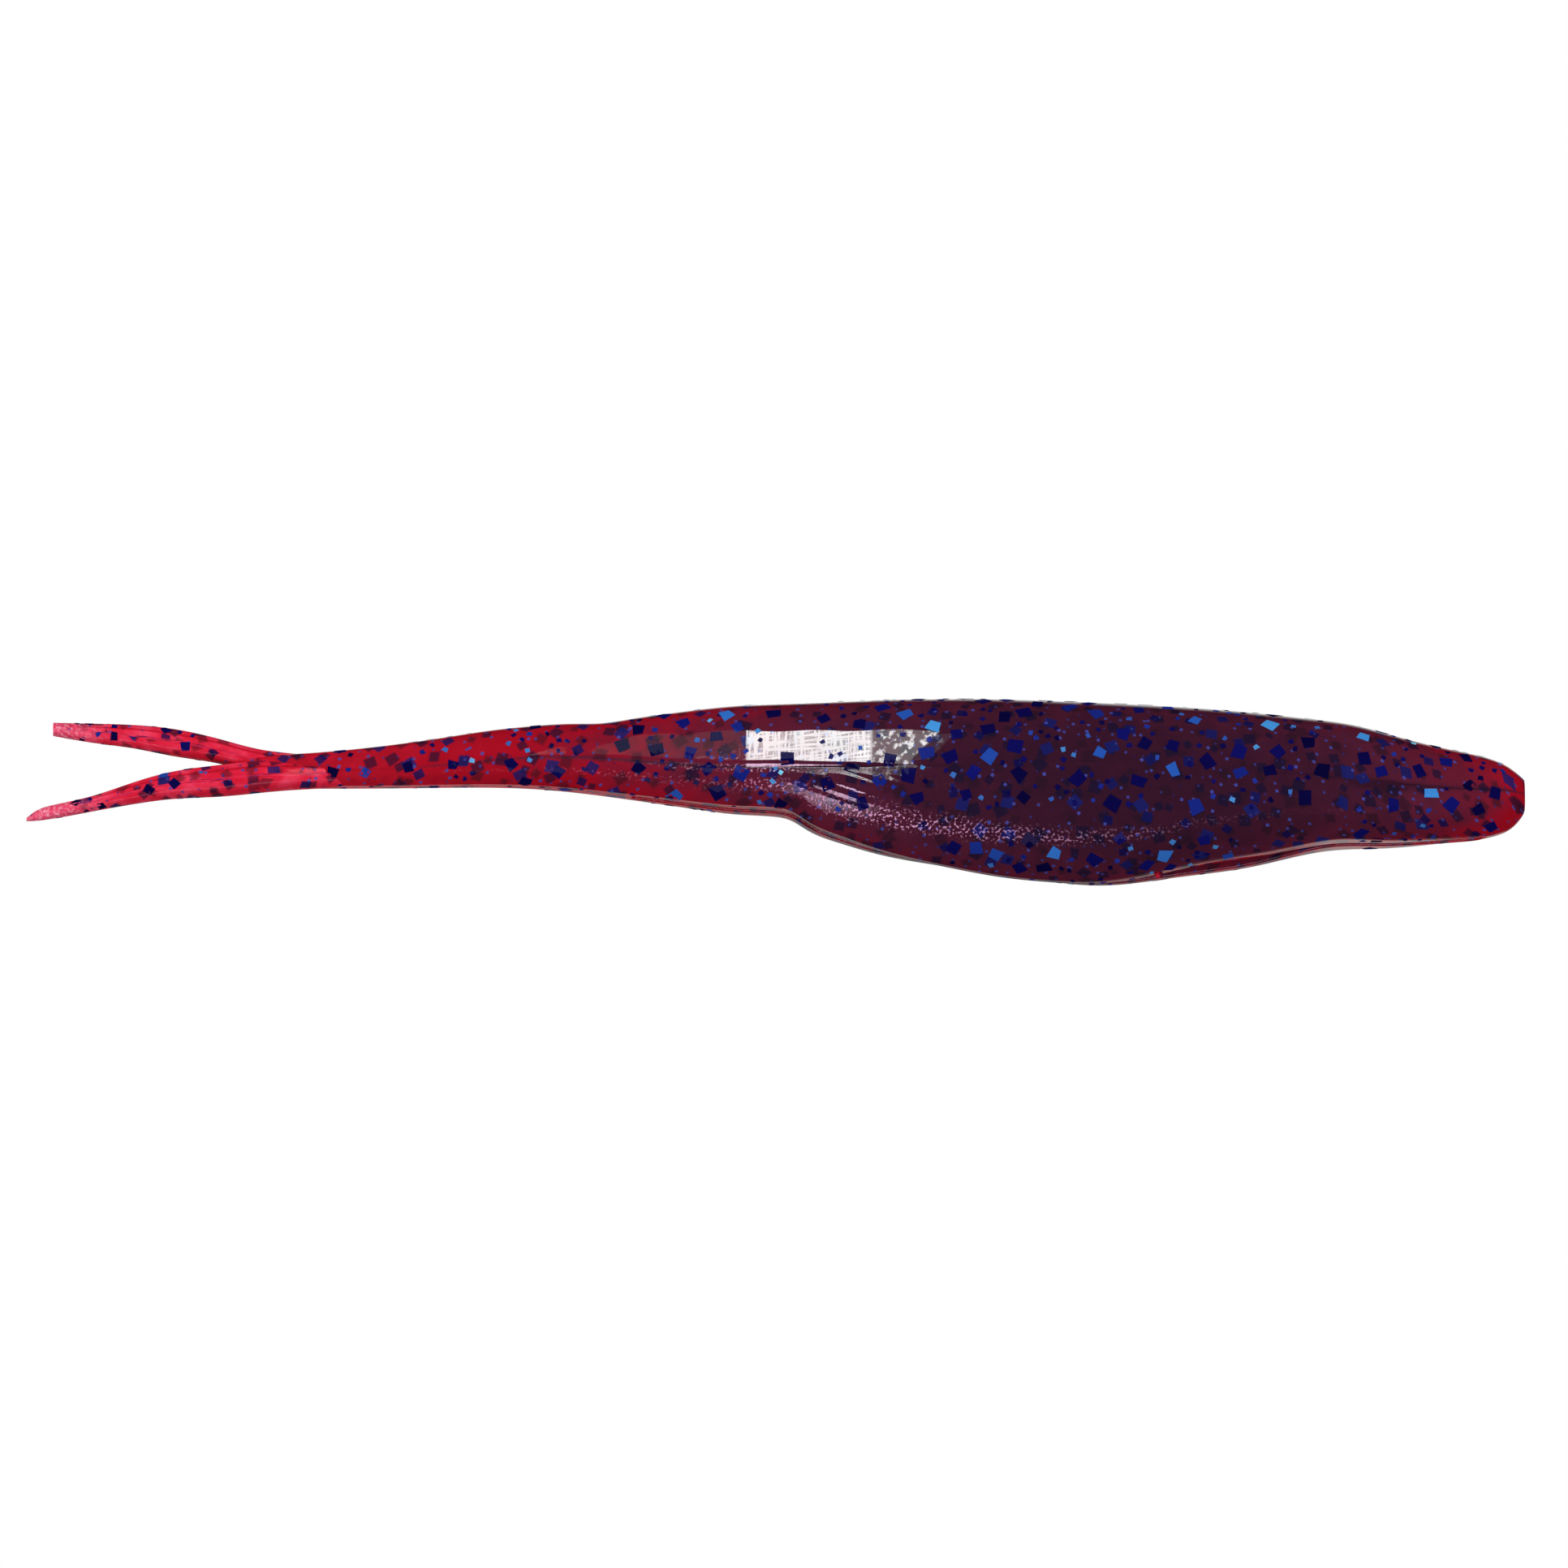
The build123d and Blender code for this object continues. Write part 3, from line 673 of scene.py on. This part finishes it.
PRONG_STEPS = 48
UPPER_TOP = [
    (104, 3.60), (107, 3.50), (110, 3.72), (112.5, 4.05), (116, 4.95), (120.3, 5.90), (124, 6.25),
    (127.5, 6.35), (131, 6.42),
]
UPPER_BOTTOM = [
    (104, 1.40), (107, 1.50), (110, 1.60), (112.5, 1.90), (116, 2.80), (120.3, 3.50), (124, 4.20),
    (127.5, 4.66), (131, 5.25),
]
UPPER_THICK = [
    (104, 0.90), (107, 1.15), (112.5, 1.35), (116, 1.35), (120.3, 1.22), (124, 1.08), (127.5, 0.90),
    (131, 0.66),
]
UPPER_SHIFT = [(104, 0.25), (112.5, 0.40), (116, 0.38), (124, 0.15), (131, 0.0)]
LOWER_TOP = [
    (104, 2.70), (107, 2.75), (110, 2.80), (112.5, 2.85), (116, 2.50), (120.3, 1.92), (124, 0.90),
    (127.5, -0.25), (131, -1.05), (132.6, -1.65), (133.3, -2.2),
]
LOWER_BOTTOM = [
    (104, 0.70), (107, 0.45), (110, 0.25), (112.5, 0.02), (116, -0.30), (120.3, -0.50), (124, -0.98),
    (127.5, -1.60), (131, -2.25), (132.6, -2.46), (133.3, -2.5),
]
LOWER_THICK = [
    (104, 0.90), (107, 1.25), (112.5, 1.45), (116, 1.42), (120.3, 1.25), (124, 1.08), (127.5, 0.90),
    (131, 0.66), (132.6, 0.42), (133.3, 0.2),
]
LOWER_SHIFT = [(104, -0.25), (112.5, -0.55), (116, -0.45), (124, -0.18), (131, 0.0), (133.3, 0.0)]
BEVEL_HEIGHT = 0.42
BEVEL_DEPTH = 0.16
BEVEL_SHARE = 0.74
# Width of the painted shade along the bevel line.
BEVEL_SHADE_WIDTH = 0.035
BEVEL_GLOSS = 0.6
PRONG_CORNERS = 2.6
PRONG_FRONT = 104.0
PRONG_MIDDLE = 120.0
PRONG_ROWS = 92

# Where each half of a prong starts and ends its bend, behind the nose.
PRONG_BENDS = {
    "base": (behind(113.8), behind(118.2)),
    "tip": (behind(121.8), behind(126.2)),
}


def prong_surface(distances, top_line, bottom_line, thick_line, shift_line):
    """Cross-sections of a prong: a rounded box, as the superellipse of power 2.6, whose sides step in a little
    above the bevel line. One row for each distance, going once round over the top from the right-hand side."""
    rows = distances[:, None]
    top = smooth_line(rows, top_line)
    bottom = smooth_line(rows, bottom_line)
    half_height = (top - bottom) / 2
    half_thick = smooth_line(rows, thick_line)
    shift = smooth_line(rows, shift_line)
    turn = np.linspace(0, 2 * math.pi, PRONG_STEPS, endpoint=False)[None]
    power = 2 / PRONG_CORNERS
    out = np.sign(np.cos(turn)) * np.abs(np.cos(turn)) ** power
    up = np.sign(np.sin(turn)) * np.abs(np.sin(turn)) ** power
    bevel = BEVEL_DEPTH * ease(up, BEVEL_HEIGHT, BEVEL_HEIGHT + 0.12) * np.abs(out)
    y = shift - (out - bevel * np.sign(out)) * half_thick
    z = (top + bottom) / 2 + up * half_height
    return np.stack([-rows * np.ones_like(y), y, z], axis=2)


def prong_piece(name, surface, distances, front, rear, shift_round):
    """One length of a prong between two distances behind the nose."""
    normals = grid_normals(surface, True)
    sizes = np.linalg.norm(np.diff(surface, axis=1, append=surface[:, :1]), axis=2)
    around = np.cumsum(sizes, axis=1) + shift_round
    height = surface[:, :, 2]
    share = (height - height.min(axis=1, keepdims=True)) / np.ptp(height, axis=1, keepdims=True)
    # Painted shade along the bevel line, where the sides step in, darkening the colour there; the rest is the
    # prong's depth.
    bevel_line_shade = np.exp(-(((share - BEVEL_SHARE) / BEVEL_SHADE_WIDTH) ** 2))
    thick = 0.1 + 0.4 * np.ptp(surface[:, :, 1], axis=1, keepdims=True) + 1.6 * bevel_line_shade
    rows = slice(np.searchsorted(distances, front), np.searchsorted(distances, rear) + 1)
    even = np.ones_like(around)
    fields = {"around": around, "thick": thick, "scuff": 0.1 * even, "gloss": 0.3 * even}
    fields["edge"] = BEVEL_GLOSS * (share > BEVEL_SHARE)
    fields = {label: field[rows] for label, field in fields.items()}
    piece = skin_mesh(name, surface[rows], normals[rows], fields, True)
    piece.data.materials.append(skin_finish)
    return piece


prong_grids = {}
for side, lines, end, shift_round in (
    ("upper", (UPPER_TOP, UPPER_BOTTOM, UPPER_THICK, UPPER_SHIFT), 131.0, 60.0),
    ("lower", (LOWER_TOP, LOWER_BOTTOM, LOWER_THICK, LOWER_SHIFT), 133.3, 90.0),
):
    distances = np.linspace(PRONG_FRONT, end, PRONG_ROWS)
    surface = prong_surface(distances, *lines)
    prong_grids[side] = (distances, surface, grid_normals(surface, True))
    root = prong_piece(side + "_prong_base", surface, distances, PRONG_FRONT, PRONG_MIDDLE, shift_round)
    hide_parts(side + "_prong_base_core")
    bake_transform(root)
    tongue = prong_piece(side + "_prong_tip", surface, distances, PRONG_MIDDLE, end, shift_round)
    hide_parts(side + "_prong_tip_core")
    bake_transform(tongue)

# ---------------------------------------------------------------------------------------------------------
# Glitter flakes. Squares cut from thin coloured film, stirred into the plastic before moulding. The ones that
# reached the mould wall lie flush in the skin and follow its curve. Large and small cuts are mixed.
# ---------------------------------------------------------------------------------------------------------

FLAKE_LIFT = 0.025
FLAKE_SINK = 0.06
flake_chance = np.random.default_rng(12)


def film_finish(name, stops):
    """Dyed metallised film under a skin of clear plastic. Each flake has its own shade."""
    material = bpy.data.materials.new(name)
    material.use_nodes = True
    material.node_tree.nodes.clear()
    start = Shade(material.node_tree)
    shade = start.node("ShaderNodeAttribute", {"attribute_name": "shade"}).output("Fac")
    colour = start.node("ShaderNodeValToRGB", {"stops": stops}, {"Fac": shade})
    shader = start.node("ShaderNodeBsdfPrincipled", None, {
        "Base Color": colour,
        "Roughness": 0.5,
        "Specular IOR Level": 0.0,
        "Coat Weight": 0.02,
        "Coat Roughness": 0.05,
    })
    start.node("ShaderNodeOutputMaterial", None, {"Surface": shader})
    return material


film_finishes = {
    "large": film_finish("blue_film_large", [
        (0.0, linear(8, 5, 46)),
        (0.45, linear(12, 9, 74)),
        (0.70, linear(16, 18, 100)),
        (0.86, linear(26, 46, 134)),
        (0.95, linear(42, 94, 184)),
        (1.0, linear(66, 146, 214)),
    ]),
    "small": film_finish("blue_film_small", [
        (0.0, linear(10, 6, 52)),
        (0.60, linear(18, 16, 92)),
        (0.82, linear(34, 50, 146)),
        (0.95, linear(72, 138, 200)),
        (1.0, linear(136, 220, 240)),
    ]),
}


def film_squares(nodes):
    """Centre, edge direction and side, in millimetres, of the flakes in some CAD nodes. Each flake there is a
    box of 12 triangles: its centre is the middle of its extent, and the shortest edge of its largest triangle
    is one side."""
    found = []
    for node in nodes:
        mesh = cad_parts[node].data
        points = np.empty(len(mesh.vertices) * 3)
        mesh.vertices.foreach_get("co", points)
        corners = np.empty(len(mesh.loops), np.int32)
        mesh.loops.foreach_get("vertex_index", corners)
        found.append(points.reshape(-1, 3)[corners].reshape(-1, 12, 3, 3) / MM)
    boxes = np.concatenate(found)
    every = np.arange(len(boxes))
    extent = boxes.reshape(len(boxes), 36, 3)
    centre = (extent.min(axis=1) + extent.max(axis=1)) / 2
    edges = np.roll(boxes, -1, axis=2) - boxes
    area = np.linalg.norm(np.cross(edges[:, :, 0], edges[:, :, 1]), axis=2)
    widest = edges[every, area.argmax(axis=1)]
    lengths = np.linalg.norm(widest, axis=2)
    side = widest[every, lengths.argmin(axis=1)]
    size = lengths.min(axis=1)
    return centre, side / size[:, None], size


def seat(points, grid):
    """The place on a skin nearest to each point, with the normal and the column of the skin there. The nearest
    corner of the row at the point's distance gives a tangent plane, and the point drops onto it."""
    distances, surface, normals = grid
    row = np.clip(np.searchsorted(distances, -points[:, 0]), 1, len(distances) - 1)
    row -= np.abs(distances[row - 1] + points[:, 0]) < np.abs(distances[row] + points[:, 0])
    apart = surface[row][:, :, 1:] - points[:, None, 1:]
    column = (apart ** 2).sum(axis=2).argmin(axis=1)
    near = surface[row, column]
    normal = normals[row, column]
    height = ((points - near) * normal).sum(axis=1, keepdims=True)
    return points - height * normal, normal, column


def flake_sheet(name, squares, keep, grid):
    """Thin plates bent to the skin: three by three corners on top, the same below, and walls between them."""
    centre, side, size = (field[keep] for field in squares)
    middle, normal, _ = seat(centre, grid)
    first = side - (side * normal).sum(axis=1, keepdims=True) * normal
    first /= np.linalg.norm(first, axis=1, keepdims=True)
    second = np.cross(normal, first)
    step = np.array([-0.5, 0.0, 0.5])
    across, up = np.meshgrid(step, step, indexing="ij")
    across, up = across.ravel()[None], up.ravel()[None]
    lean = flake_chance.uniform(-0.35, 0.35, (2, len(size), 1))
    length = size[:, None] * flake_chance.uniform(0.72, 1.12, (2, len(size), 1))
    wide = across * length[0] * (1 + lean[0] * up)
    tall = up * length[1] * (1 + lean[1] * across)
    points = middle[:, None] + wide[..., None] * first[:, None] + tall[..., None] * second[:, None]
    skin_points, skin_normals, _ = seat(points.reshape(-1, 3), grid)
    top = (skin_points + FLAKE_LIFT * skin_normals).reshape(-1, 9, 3)
    bottom = (skin_points - FLAKE_SINK * skin_normals).reshape(-1, 9, 3)
    vertices = np.concatenate([top, bottom], axis=1).reshape(-1, 3) * MM
    patch = np.array([(0, 3, 4, 1), (1, 4, 5, 2), (3, 6, 7, 4), (4, 7, 8, 5)])
    rim = np.array([0, 3, 6, 7, 8, 5, 2, 1])
    walls = np.stack([np.roll(rim, -1), rim, rim + 9, np.roll(rim, -1) + 9], axis=1)
    faces = np.concatenate([patch, patch[:, ::-1] + 9, walls])
    quads = (faces[None] + 18 * np.arange(len(centre))[:, None, None]).reshape(-1, 4)
    mesh = bpy.data.meshes.new(name)
    mesh.from_pydata(vertices.tolist(), [], quads.tolist())
    shades = np.repeat(flake_chance.random(len(centre)), 18)
    attribute = mesh.attributes.new("shade", "FLOAT", "POINT")
    attribute.data.foreach_set("value", shades.astype(np.float32))
    piece = bpy.data.objects.new(name, mesh)
    bpy.context.scene.collection.objects.link(piece)
    return piece


CASTING_BODIES = ("head", "trunk", "left_lip", "right_lip", "rear_body", "stem_root", "stem_mid", "stem_tip")
casting_grid = (rows_behind, casting, casting_normals)

for cut in ("large", "small"):
    squares = film_squares([body + "_" + cut + "_flakes" for body in CASTING_BODIES])
    columns_of_flakes = seat(squares[0], casting_grid)[2]
    far_behind = -squares[0][:, 0]
    beside_slot = (far_behind >= LIPS_FRONT) & (far_behind < LIPS_REAR)
    on_right_lip = beside_slot & np.isin(columns_of_flakes, RIGHT_LIP_COLUMNS)
    on_left_lip = beside_slot & np.isin(columns_of_flakes, LEFT_LIP_COLUMNS)
    sheets = [
        ("head", far_behind < LIPS_FRONT),
        ("trunk", beside_slot & ~on_right_lip & ~on_left_lip),
        ("right_lip", on_right_lip),
        ("left_lip", on_left_lip),
    ]
    sheets += [(name, (far_behind >= front) & (far_behind < rear)) for name, front, rear, *_ in REAR_LENGTHS]
    for body, keep in sheets:
        flakes = flake_sheet(body + "_" + cut + "_film", squares, keep, casting_grid)
        flakes.data.materials.append(film_finishes[cut])
        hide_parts(body + "_" + cut + "_flakes")
        if body == "trunk":
            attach(flakes, body)
        else:
            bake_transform(flakes)
    for prong, grid in prong_grids.items():
        for half, leader in (("base", "stem_tip"), ("tip", prong + "_prong_base")):
            body = prong + "_prong_" + half
            squares = film_squares([body + "_" + cut + "_flakes"])
            every = np.ones(len(squares[0]), bool)
            flakes = flake_sheet(body + "_" + cut + "_film", squares, every, grid)
            flakes.data.materials.append(film_finishes[cut])
            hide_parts(body + "_" + cut + "_flakes")
            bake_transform(flakes)

# ---------------------------------------------------------------------------------------------------------
# Studio. A plain pale floor well below the bait, which is held by its nose, and soft lights. The floor glows a
# little, since the lights are near the bait, and it throws nothing back on to it.
# ---------------------------------------------------------------------------------------------------------

FLOOR_DROP = 1.4
FLOOR_HALF = 12.0
floor_mesh = bpy.data.meshes.new("floor")
floor_mesh.from_pydata(
    [(x * FLOOR_HALF, y * FLOOR_HALF, -FLOOR_DROP) for x, y in ((-1, -1), (1, -1), (1, 1), (-1, 1))],
    [],
    [(0, 1, 2, 3)],
)
floor = bpy.data.objects.new("floor", floor_mesh)
bpy.context.scene.collection.objects.link(floor)
floor_paint = bpy.data.materials.new("pale_floor")
floor_paint.use_nodes = True
floor_sockets = floor_paint.node_tree.nodes["Principled BSDF"].inputs
floor_sockets["Base Color"].default_value = (0.86, 0.86, 0.87, 1.0)
floor_sockets["Roughness"].default_value = 0.9
floor_sockets["Emission Color"].default_value = (0.86, 0.86, 0.87, 1.0)
floor_sockets["Emission Strength"].default_value = 0.65
floor.data.materials.append(floor_paint)
floor.visible_diffuse = False
floor.visible_glossy = False


def soft_light(name, size, power, aim, direction, distance, shows_in_gloss, roll=0.0, colour=(1.0, 1.0, 1.0)):
    """A rectangular light, size in metres, aimed at a point from a direction, given as azimuth and elevation in
    degrees, and rolled about its own axis. It lights either the matt part of the plastic or its gloss."""
    lamp = bpy.data.lights.new(name, "AREA")
    lamp.shape = "RECTANGLE"
    lamp.size, lamp.size_y = size
    lamp.energy = power
    light = bpy.data.objects.new(name, lamp)
    bpy.context.scene.collection.objects.link(light)
    turn, rise = (math.radians(angle) for angle in direction)
    away = (math.sin(turn) * math.cos(rise), -math.cos(turn) * math.cos(rise), math.sin(rise))
    light.location = [at + distance * step for at, step in zip(aim, away)]
    facing = Euler((math.radians(90) - rise, 0.0, turn)).to_matrix()
    light.rotation_euler = (facing @ Matrix.Rotation(math.radians(roll), 3, "Z")).to_euler()
    light.visible_glossy = shows_in_gloss
    light.visible_diffuse = not shows_in_gloss
    light.visible_camera = False
    lamp.color = colour


MIDDLE = (-65.9 * MM, 0.0, 0.88 * MM)
soft_light("key", (1.0, 0.8), 13.2, MIDDLE, (-20, 40), 1.2, False)
soft_light("fill", (1.2, 0.9), 5.8, MIDDLE, (40, 5), 1.4, False)
soft_light("under", (1.2, 0.6), 2.7, MIDDLE, (0, -50), 0.45, False)

# Small panels close to the bait, for the crisp block of gloss on the flank, a dim one beside it, and a low one
# whose light only shows as glints in the scuffed skin above the lips.
WINDOW_AIM = (-63.6 * MM, -4.5 * MM, 3.2 * MM)
BESIDE_AIM = (-54.6 * MM, -5.3 * MM, 3.2 * MM)
SCUFF_AIM = (-54 * MM, -5 * MM, -3 * MM)
VIOLET_WHITE = (1.0, 0.70, 0.94)
soft_light("window", (0.030, 0.140), 0.28, WINDOW_AIM, (-12.4, 27.0), 0.12, True, 1.4)
soft_light("window_beside", (0.011, 0.080), 0.010, BESIDE_AIM, (-8.5, 33.5), 0.12, True)
soft_light("low_panel", (0.24, 0.08), 1.1, SCUFF_AIM, (-6, -46), 0.25, True, 0.0, VIOLET_WHITE)

world = bpy.data.worlds.new("studio")
bpy.context.scene.world = world
world.use_nodes = True
world.node_tree.nodes.clear()
sky = Shade(world.node_tree)
ray = sky.node("ShaderNodeLightPath")
direction = sky.node("ShaderNodeTexCoord")
toward = sky.node("ShaderNodeSeparateXYZ", None, {"Vector": direction.output("Generated")}).output("Y")
all_round = toward.smooth(0.2, 0.9).tint((0.0, 0.0, 0.0, 1.0), (0.8, 0.8, 0.8, 1.0))
rim_only = toward.smooth(0.65, 0.95).tint((0.0, 0.0, 0.0, 1.0), (1.0, 1.0, 1.0, 1.0))
shell = ray.output("Is Glossy Ray").tint(all_round, rim_only)
seen = ray.output("Is Camera Ray").tint(shell, (1.0, 1.0, 1.0, 1.0))
background = sky.node("ShaderNodeBackground", None, {"Color": seen, "Strength": 1.0})
sky.node("ShaderNodeOutputWorld", None, {"Surface": background})

CAMERA_DISTANCE = 1.2
CAMERA_ELEVATION = math.radians(-11)
VIEW_WIDTH = 139.6 * MM
lens = bpy.data.cameras.new("camera")
lens.sensor_width = 36
lens.lens = 36 * CAMERA_DISTANCE / VIEW_WIDTH
camera = bpy.data.objects.new("camera", lens)
bpy.context.scene.collection.objects.link(camera)
camera.location = (
    MIDDLE[0],
    -CAMERA_DISTANCE * math.cos(CAMERA_ELEVATION),
    MIDDLE[2] + CAMERA_DISTANCE * math.sin(CAMERA_ELEVATION),
)
camera.rotation_euler = (math.radians(90) - CAMERA_ELEVATION, 0.0, 0.0)
bpy.context.scene.camera = camera
bpy.context.scene.view_settings.view_transform = "Standard"
